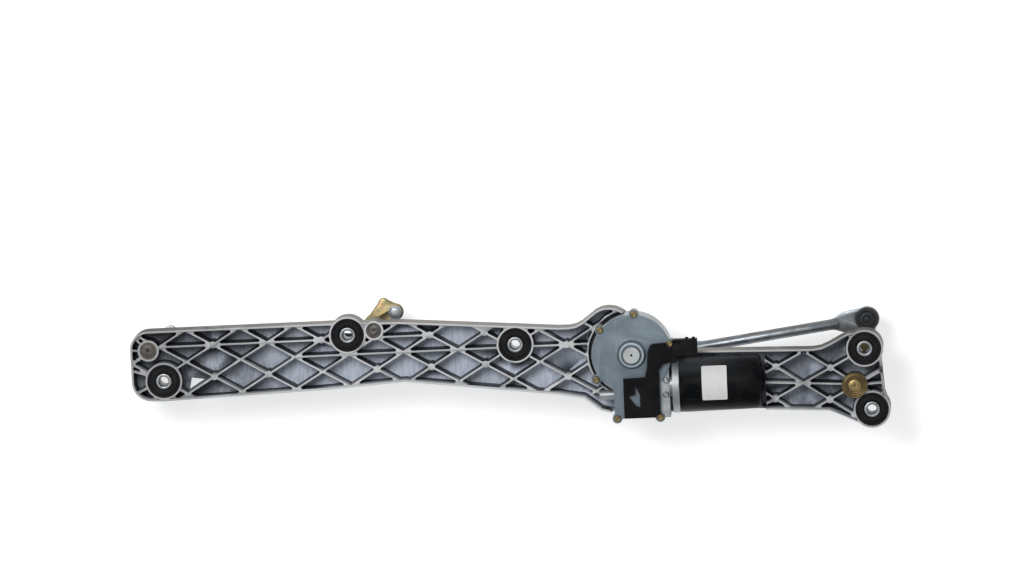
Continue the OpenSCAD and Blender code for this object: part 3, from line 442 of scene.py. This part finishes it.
def merged_copy(node):
    """A CAD node's triangles, merged to whole flat faces."""
    bm = bmesh.new()
    bm.from_mesh(frame["nodes"][node].data)
    bmesh.ops.remove_doubles(bm, verts=bm.verts, dist=4e-6)
    bmesh.ops.dissolve_limit(bm, angle_limit=math.radians(0.4), verts=bm.verts, edges=bm.edges)
    return bm


def round_edges(bm, width, segments=2, over=26.0):
    """Rounded edges, with less width where a corner leaves no room, so the mesh stays on the old one."""
    old = BVHTree.FromBMesh(bm)
    for share in (1.0, 0.6, 0.35, 0.2):
        trial = bm.copy()
        sharp = [e for e in trial.edges
                 if len(e.link_faces) == 2 and e.calc_face_angle(0.0) > math.radians(over)]
        bmesh.ops.bevel(trial, geom=sharp, offset=width * share * MM, offset_type="OFFSET",
                        segments=segments, profile=0.5, affect="EDGES", clamp_overlap=True)
        stray = max(old.find_nearest(v.co)[3] or 0.0 for v in trial.verts)
        if stray < 0.6 * width * MM:
            bm.free()
            return trial
        trial.free()
    return bm


def rounded_node(node, name, width, surface, segments=2, over=26.0, smooth=35.0):
    """The CAD node with its edges rounded."""
    bm = round_edges(merged_copy(node), width, segments, over)
    return fit_to(piece_of(name, bm, surface, smooth), NODE_BODY[node], NODE_SLOT[node], node)


def on_circle(radius, step, steps, height):
    """A point of a circle around Z, in millimetres, as a place in metres."""
    angle = 2 * math.pi * step / steps
    return radius * MM * math.cos(angle), radius * MM * math.sin(angle), height * MM


def lathe(name, profile, surface, centre=(0, 0, 0), turn=None, segments=96, smooth=35.0):
    """A closed profile of (radius, height) in millimetres, turned about Z, then set by turn and centre."""
    bm = bmesh.new()
    layer = bm.loops.layers.uv.new("profile")
    lengths = [0.0]
    for a, b in zip(profile, profile[1:] + profile[:1]):
        lengths.append(lengths[-1] + math.dist(a, b))
    rings = []
    for r, z in profile:
        if r < 1e-6:
            rings.append([bm.verts.new((0, 0, z * MM))] * segments)
        else:
            rings.append([bm.verts.new(on_circle(r, k, segments, z)) for k in range(segments)])
    count = len(profile)
    for i in range(count):
        j = (i + 1) % count
        if profile[i][0] < 1e-6 and profile[j][0] < 1e-6:
            continue
        for k in range(segments):
            n = (k + 1) % segments
            corners = [(rings[i][k], k, i), (rings[i][n], k + 1, i),
                       (rings[j][n], k + 1, i + 1), (rings[j][k], k, i + 1)]
            kept = []
            for c in corners:
                if c[0] not in [x[0] for x in kept]:
                    kept.append(c)
            face = bm.faces.new([c[0] for c in kept])
            for loop, c in zip(face.loops, kept):
                loop[layer].uv = (c[1] / segments, lengths[c[2]])
    bmesh.ops.recalc_face_normals(bm, faces=bm.faces)
    if turn is not None:
        bm.transform(turn)
    bm.transform(Matrix.Translation(Vector(centre)))
    return piece_of(name, bm, surface, smooth)


# Repeats on points, as one Geometry Nodes tree

def make_repeat_tree():
    tree = bpy.data.node_groups.new("set on places", "GeometryNodeTree")
    for label, kind in (("Geometry", "NodeSocketGeometry"), ("Shape", "NodeSocketObject"),
                        ("Finish", "NodeSocketMaterial"), ("Turn Step", "NodeSocketFloat")):
        tree.interface.new_socket(label, in_out="INPUT", socket_type=kind)
    tree.interface.new_socket("Geometry", in_out="OUTPUT", socket_type="NodeSocketGeometry")
    t = Tree(tree)
    given = t.node("NodeGroupInput").outputs
    shape = t.node("GeometryNodeObjectInfo", {"Object": given["Shape"]})
    number = t.node("GeometryNodeInputIndex").outputs[0]
    angle = t.math("MULTIPLY", number, given["Turn Step"])
    turn = t.node("ShaderNodeCombineXYZ", {"Z": angle}).outputs[0]
    points = t.node("GeometryNodeMeshToPoints", {"Mesh": given["Geometry"]})
    placed = t.node("GeometryNodeInstanceOnPoints", {
        "Points": points.outputs[0], "Instance": shape.outputs["Geometry"], "Rotation": turn})
    real = t.node("GeometryNodeRealizeInstances", {0: placed.outputs[0]})
    finished = t.node("GeometryNodeSetMaterial", {"Geometry": real.outputs[0], "Material": given["Finish"]})
    t.node("NodeGroupOutput", {0: finished.outputs[0]})
    return tree


REPEAT = make_repeat_tree()


def repeat(name, shape, places, surface, turn_step=0.0, smooth=35.0):
    """The shape on each place, in metres, as one plain mesh. The shape itself goes."""
    seeds = bpy.data.meshes.new(name + " places")
    seeds.from_pydata([tuple(p) for p in places], [], [])
    made = bpy.data.objects.new(name, seeds)
    bpy.context.scene.collection.objects.link(made)
    modifier = made.modifiers.new("repeat", "NODES")
    modifier.node_group = REPEAT
    wanted = {"Shape": shape, "Finish": surface, "Turn Step": turn_step}
    for item in REPEAT.interface.items_tree:
        if item.in_out == "INPUT" and item.name in wanted:
            modifier[item.identifier] = wanted[item.name]
    bpy.context.view_layer.update()
    graph = bpy.context.evaluated_depsgraph_get()
    mesh = bpy.data.meshes.new_from_object(made.evaluated_get(graph))
    made.modifiers.clear()
    made.data = mesh
    mesh.name = name
    mesh.shade_smooth()
    mesh.set_sharp_from_angle(angle=math.radians(smooth))
    bpy.data.objects.remove(shape)
    return made


# Camera: above the motor side, leaning a little toward the frame's upper wall
TARGET = Vector((-0.0031, 0.0624, 0.0))
DISTANCE = 12.0
PIXEL = 1.0967
SENSOR = 36.0
PICTURE_WIDTH = 1.024
back = Vector((0.045, 0.10, 1.0)).normalized()
up = back.cross(Vector((1, 0, 0))).normalized()
right = up.cross(back)
lens = bpy.data.cameras.new("camera")
lens.sensor_width = SENSOR
lens.lens = SENSOR * DISTANCE / (PICTURE_WIDTH * PIXEL)
lens.clip_start, lens.clip_end = 0.1, 60.0
camera = bpy.data.objects.new("camera", lens)
bpy.context.scene.collection.objects.link(camera)
camera.matrix_world = Matrix((
    (right.x, up.x, back.x, 0), (right.y, up.y, back.y, 0), (right.z, up.z, back.z, 0), (0, 0, 0, 1)))
camera.location = TARGET + back * DISTANCE
bpy.context.scene.camera = camera


# The cast frame
FILLETS = ((1.3, 3.2), (1.8, 1.0))
FULL_FILLET_ROOM = 6.5


def make_frame_casting():
    """The casting with fillets around its pocket floors, and its free side walls marked as outer."""
    bm = merged_copy("frame_casting")
    floor_z = POCKET_FLOOR * MM
    seats = [Vector(b) * MM for b in BUSHES]
    drain = Vector(DRAIN) * MM

    def pocket_floor(face):
        c = face.calc_center_median()
        return (face.normal.z > 0.99 and abs(c.z - floor_z) < 0.2 * MM
                and all((c.xy - s).length > BUSH_SEAT_R * MM for s in seats)
                and all((v.co.xy - drain).length > DRAIN_R * MM for v in face.verts))

    floors = [f for f in bm.faces if pocket_floor(f)]
    room = {}
    for f in floors:
        share = min(1.0, 2 * f.calc_area() / f.calc_perimeter() / (FULL_FILLET_ROOM * MM))
        for v in f.verts:
            room[v] = min(room.get(v, 1.0), share)
    for width, lift in FILLETS:
        inside, known = set(floors), set(bm.verts)
        inward, feet = {}, set()
        for f in floors:
            for loop in f.loops:
                beyond = [g for g in loop.edge.link_faces if g not in inside]
                if not beyond:
                    continue
                run = (loop.link_loop_next.vert.co - loop.vert.co).normalized()
                for v in loop.edge.verts:
                    inward.setdefault(v, []).append(Vector((-run.y, run.x, 0)))
                if min(v.co.z for v in beyond[0].verts) > floor_z - 0.3 * MM:
                    feet.update(loop.edge.verts)
        bmesh.ops.inset_region(bm, faces=floors, thickness=1e-7, use_boundary=True, use_even_offset=False)
        for v, ways in inward.items():
            way = sum(ways, Vector()).normalized()
            reach = width * MM * room[v] / max(0.62, way.dot(ways[0]))
            for e in v.link_edges:
                new = e.other_vert(v)
                if new not in known:
                    new.co = v.co + way * reach
                    new.co.z = floor_z
                    room[new] = room[v]
        for v in feet:
            v.co.z += lift * MM * room[v]
    bm.normal_update()
    seen = BVHTree.FromBMesh(bm)
    outer = bm.faces.layers.float.new("outer")
    for f in bm.faces:
        c = f.calc_center_median()
        if abs(f.normal.z) < 0.6:
            free = seen.ray_cast(c + f.normal * 1e-5, f.normal)[0] is None
            f[outer] = 1.0 if free else 0.0
    return piece_of("cast_frame", bm, cast_alloy, 40.0)


fit_to(make_frame_casting(), "frame_set", "cast_aluminium", "frame_casting")


# Rubber bushes and their steel sleeves
BUSH_PROFILE = [
    (8.56, -30.9), (18.2, -30.9), (18.25, -0.5), (18.1, 0.15), (17.6, 0.6), (16.9, 0.75),
    (16.3, 0.55), (15.9, 0.15), (15.4, 0.1), (15.0, 0.45), (14.4, 0.85), (13.2, 1.0),
    (11.2, 1.0), (10.3, 0.8), (9.7, 0.3), (9.2, 0.05), (8.56, 0.0)]
bush_shape = lathe("bush_shape", BUSH_PROFILE, bush_rubber, segments=72)
bushes = repeat("rubber_bushes", bush_shape, [(x * MM, y * MM, 0) for x, y in BUSHES], bush_rubber, 0.7)
fit_to(bushes, "frame_set", "rubber", *["rubber_bush_" + k for k in BUSH_NAMES])

SLEEVE_PROFILE = [
    (5.27, -32.4), (5.9, -33.0), (8.0, -33.0), (8.48, -32.5), (8.48, 1.25), (8.3, 1.6),
    (7.9, 1.8), (6.5, 1.8), (6.1, 1.65), (5.45, 0.9), (5.27, 0.5)]
sleeve_shape = lathe("sleeve_shape", SLEEVE_PROFILE, sleeve_steel, segments=72)
sleeves = repeat("bush_sleeves", sleeve_shape, [(x * MM, y * MM, 0) for x, y in BUSHES], sleeve_steel, 0.9)
fit_to(sleeves, "frame_set", "steel", *["bush_sleeve_" + k for k in BUSH_NAMES])


# Spindle ends
DISC_PROFILE = [
    (7.04, 0.3), (13.6, 0.3), (14.2, 0.55), (14.25, 1.5), (13.9, 1.9), (13.2, 1.9),
    (12.7, 1.75), (12.2, 1.95), (11.9, 2.9), (11.4, 3.1), (10.4, 3.1), (10.0, 2.9),
    (9.6, 2.95), (9.2, 3.4), (9.15, 4.6), (8.8, 4.9), (7.6, 4.9), (7.04, 4.6)]
disc = lathe("bronze_retaining_disc", DISC_PROFILE, bronze_disc,
             (RIGHT_AXIS[0] * MM, RIGHT_AXIS[1] * MM, 0))
fit_to(disc, "right_spindle_set", "gold_zinc", "right_retainer")
rounded_node("right_spindle", "right_wiper_spindle", 0.5, spindle_steel)
rounded_node("left_spindle", "left_wiper_spindle", 0.5, dark_steel)
rounded_node("idler_shaft", "middle_pivot_shaft", 0.5, dark_steel)


# Gear motor
rounded_node("gear_housing", "gear_housing_casting", 0.6, motor_alloy, smooth=24.0)
rounded_node("gear_cover", "gear_cover_plate", 0.45, cover_plate, smooth=24.0)
rounded_node("connector_cover", "connector_cover_moulding", 0.7, black_plastic, smooth=24.0)

lying = Matrix.Rotation(MOTOR_SLOPE, 4, "Z") @ Matrix.Rotation(math.pi / 2, 4, "Y")
CAN_PROFILE = [
    (28.1, 0.05), (29.2, 0.05), (29.7, 0.5), (29.7, 2.6), (29.45, 3.0), (29.45, 3.5), (29.7, 3.9),
    (29.7, 84.0), (29.5, 85.6), (28.9, 87.2), (27.8, 88.6), (26.4, 89.5), (24.9, 90.0), (13.0, 90.0),
    (12.0, 90.3), (11.0, 91.0), (10.8, 92.6), (10.2, 93.0), (7.3, 93.0), (7.02, 92.7), (7.02, 84.0),
    (28.1, 84.0)]
can = lathe("motor_can_shell", CAN_PROFILE, can_black, in_motor(CAN_X0, -WORM_DIST, WORM_Z), lying, 128)
fit_to(can, "frame_set", "black_can", "motor_can")


def make_label():
    """A thin plain label on the can, with round corners and a slightly lifted edge."""
    bm = bmesh.new()
    x0, x1, a0, a1, corner = 76.0, 103.5, -33.0, 45.0, 1.6
    rows, cols = 40, 24
    grid = []
    for i in range(rows + 1):
        line = []
        for j in range(cols + 1):
            u, v = j / cols, i / rows
            x, y = x0 + (x1 - x0) * u, math.radians(a0 + (a1 - a0) * v) * CAN_R
            ex, ey = min(u, 1 - u) * (x1 - x0), min(v, 1 - v) * math.radians(a1 - a0) * CAN_R
            if ex < corner and ey < corner:
                dx, dy = corner - ex, corner - ey
                over = math.hypot(dx, dy) / corner
                if over > 1.0:
                    x += math.copysign(dx - dx / over, 0.5 - u)
                    y += math.copysign(dy - dy / over, 0.5 - v)
            lift = 0.12 + 0.06 * max(0.0, 1 - min(ex, ey) / 1.5) * (0.5 + 0.5 * math.sin(9 * u + 7 * v))
            r, a = CAN_R + lift, y / CAN_R
            line.append(bm.verts.new(in_motor(x, -WORM_DIST + r * math.sin(a), WORM_Z + r * math.cos(a))))
        grid.append(line)
    for i in range(rows):
        for j in range(cols):
            bm.faces.new((grid[i][j], grid[i][j + 1], grid[i + 1][j + 1], grid[i + 1][j]))
    bmesh.ops.recalc_face_normals(bm, faces=bm.faces)
    if sum((f.normal.z for f in bm.faces)) < 0:
        bmesh.ops.reverse_faces(bm, faces=bm.faces)
    bmesh.ops.solidify(bm, geom=bm.faces[:], thickness=0.09 * MM)
    return piece_of("blank_label", bm, paper, 50.0)


fit_to(make_label(), "frame_set", "white_plastic")


def screw_shape(name, r, h, socket, surface):
    """A pan head with a washer rim and a six-sided socket; its foot is at the origin."""
    bm = bmesh.new()
    sides = 36
    profile = [(1.0, 0.0), (1.0, 0.25), (0.97, 0.45), (0.88, 0.75), (0.74, 0.93), (0.6, 1.0)]
    rings = [[bm.verts.new(on_circle(r * across, k, sides, h * along)) for k in range(sides)]
             for across, along in profile]
    for depth in (h - 0.15, 0.45 * h):
        ring = []
        for k in range(sides):
            a = 2 * math.pi * k / sides
            flat = socket * math.cos(math.pi / 6) / math.cos((a % (math.pi / 3)) - math.pi / 6)
            ring.append(bm.verts.new((flat * MM * math.cos(a), flat * MM * math.sin(a), depth * MM)))
        rings.append(ring)
    for a, b in zip(rings, rings[1:]):
        for k in range(sides):
            n = (k + 1) % sides
            bm.faces.new((a[k], a[n], b[n], b[k]))
    bm.faces.new(rings[-1])
    bm.faces.new(rings[0][::-1])
    bmesh.ops.recalc_face_normals(bm, faces=bm.faces)
    return piece_of(name, bm, surface)


NUB_PROFILE = [(0.0, 0.0), (1.7, 0.0), (1.75, 1.6), (1.5, 2.1), (1.0, 2.4), (0.0, 2.5)]
nub = lathe("plug_nub", NUB_PROFILE, black_plastic, turn=Matrix.Rotation(-math.pi / 2, 4, "X"), segments=24)
nubs = repeat("plug_latch_nubs", nub, [in_motor(x, NUBS_Y, NUBS_Z) for x in NUBS_X], black_plastic)
fit_to(nubs, "frame_set", "black_plastic")

cover_screws = repeat("cover_screw_heads", screw_shape("cover_screw", 4.0, 3.2, 2.0, gold_zinc),
                      [in_motor(x, y, COVER_TOP + HEAD_GAP) for x, y in SCREWS], gold_zinc, 0.83)
fit_to(cover_screws, "frame_set", "gold_zinc", "cover_screws")
flange_screws = repeat("flange_screw_heads", screw_shape("flange_screw", 3.3, 2.3, 1.5, bright_steel),
                       [in_motor(x, y, HOUSING_TOP + HEAD_GAP) for x, y in FLANGE_SCREWS],
                       bright_steel, 0.5)
fit_to(flange_screws, "frame_set", "steel", "can_screws")


# Levers, rods and sockets
for node, surface, width in (
        ("crank_arm", gold_zinc, 0.8), ("right_lever", gold_zinc, 1.0), ("bell_crank", gold_zinc, 1.2),
        ("left_lever", gold_zinc, 1.0), ("connecting_rod", rod_steel, 0.7),
        ("crank_nut", bright_steel, 0.5),
        ("right_rod", rod_steel, 0.9), ("left_rod", rod_steel, 0.9), ("right_rod_cap", socket_plastic, 0.8),
        ("left_rod_cap", socket_plastic, 0.8), ("crank_boot", bush_rubber, 0.5),
        ("bell_link_pin", bright_steel, 0.4),
        ("left_link_pin", bright_steel, 0.4), ("output_shaft", bright_steel, 0.5)):
    rounded_node(node, node + "_finished", width, surface)

# Ball sockets with two grooves around the cap; heights are from the ball's centre
SOCKETS = (("right_rod_socket", (385.28, 22.39, -62.4), 0.0),
           ("left_rod_socket", (-114.38, -28.585, -74.7), math.pi))
SOCKET_PROFILE = [
    (6.2, -8.0), (9.4, -8.0), (10.35, -7.0), (10.35, 2.35), (12.6, 2.35), (13.0, 2.7), (13.0, 4.9),
    (12.75, 6.0), (12.1, 7.0), (11.2, 7.9), (10.2, 8.5), (9.7, 8.7), (9.35, 8.2), (8.7, 7.9),
    (8.15, 8.3), (7.9, 9.3), (7.4, 9.7), (5.6, 10.3), (5.1, 10.2), (4.8, 9.5), (4.2, 9.3),
    (3.7, 9.7), (3.4, 10.4), (2.8, 10.7), (0.0, 10.95), (0.0, 6.8), (2.6, 6.28), (4.81, 4.81),
    (6.28, 2.6), (6.8, 0.0), (6.57, -1.76), (6.2, -2.8)]
for node, place, tip in SOCKETS:
    socket = lathe(node + "_finished", SOCKET_PROFILE, socket_plastic, [v * MM for v in place],
                   Matrix.Rotation(tip, 4, "X"), 72)
    fit_to(socket, NODE_BODY[node], NODE_SLOT[node], node)


# Floor, light and background
FLOOR_GLOW = 0.45
FLOOR_REACH = 9
FLOOR_GAP = 0.0008


def make_stage():
    """A pale floor just under the part, a little bright of its own."""
    bm = bmesh.new()
    z = cad_low.z - FLOOR_GAP
    for x, y in ((-1, -1), (1, -1), (1, 1), (-1, 1)):
        bm.verts.new((x * FLOOR_REACH, y * FLOOR_REACH, z))
    bm.faces.new(bm.verts)
    white = bpy.data.materials.new("pale floor")
    white.use_nodes = True
    white.node_tree.nodes.clear()
    t = Tree(white.node_tree)
    place = t.node("ShaderNodeTexCoord").outputs["Object"]
    tone = t.mix(t.noise(place, 3.0, 3.0), (0.80, 0.80, 0.80, 1), (0.83, 0.83, 0.825, 1))
    matt = t.node("ShaderNodeBsdfDiffuse", {"Color": tone})
    path = t.node("ShaderNodeLightPath").outputs
    mirrored = t.math("MAXIMUM", path["Is Glossy Ray"], path["Is Transmission Ray"])
    seen = t.math("MAXIMUM", path["Is Camera Ray"], mirrored)
    lit = t.math("MULTIPLY", seen, FLOOR_GLOW)
    glow = t.node("ShaderNodeEmission", {"Color": (1, 1, 1, 1), "Strength": lit})
    both = t.node("ShaderNodeAddShader", {0: matt.outputs[0], 1: glow.outputs[0]})
    t.node("ShaderNodeOutputMaterial", {"Surface": both.outputs[0]})
    floor = piece_of("floor", bm, white)


make_stage()
scene = bpy.context.scene
scene.view_settings.view_transform = "Standard"
world = bpy.data.worlds.new("studio")
scene.world = world
world.use_nodes = True
world.node_tree.nodes["Background"].inputs["Color"].default_value = (0.95, 0.97, 1.0, 1)
world.node_tree.nodes["Background"].inputs["Strength"].default_value = 0.5


def lamp(name, place, size, watts, target=(0, 0, 0)):
    light = bpy.data.lights.new(name, "AREA")
    light.shape = "SQUARE"
    light.size = size
    light.energy = watts
    made = bpy.data.objects.new(name, light)
    scene.collection.objects.link(made)
    made.location = place
    made.rotation_euler = (Vector(place) - Vector(target)).to_track_quat("Z", "Y").to_euler()


lamp("key light", (-0.75, 1.05, 3.0), 1.1, 62)
lamp("fill light", (1.8, -1.0, 2.8), 2.2, 12)
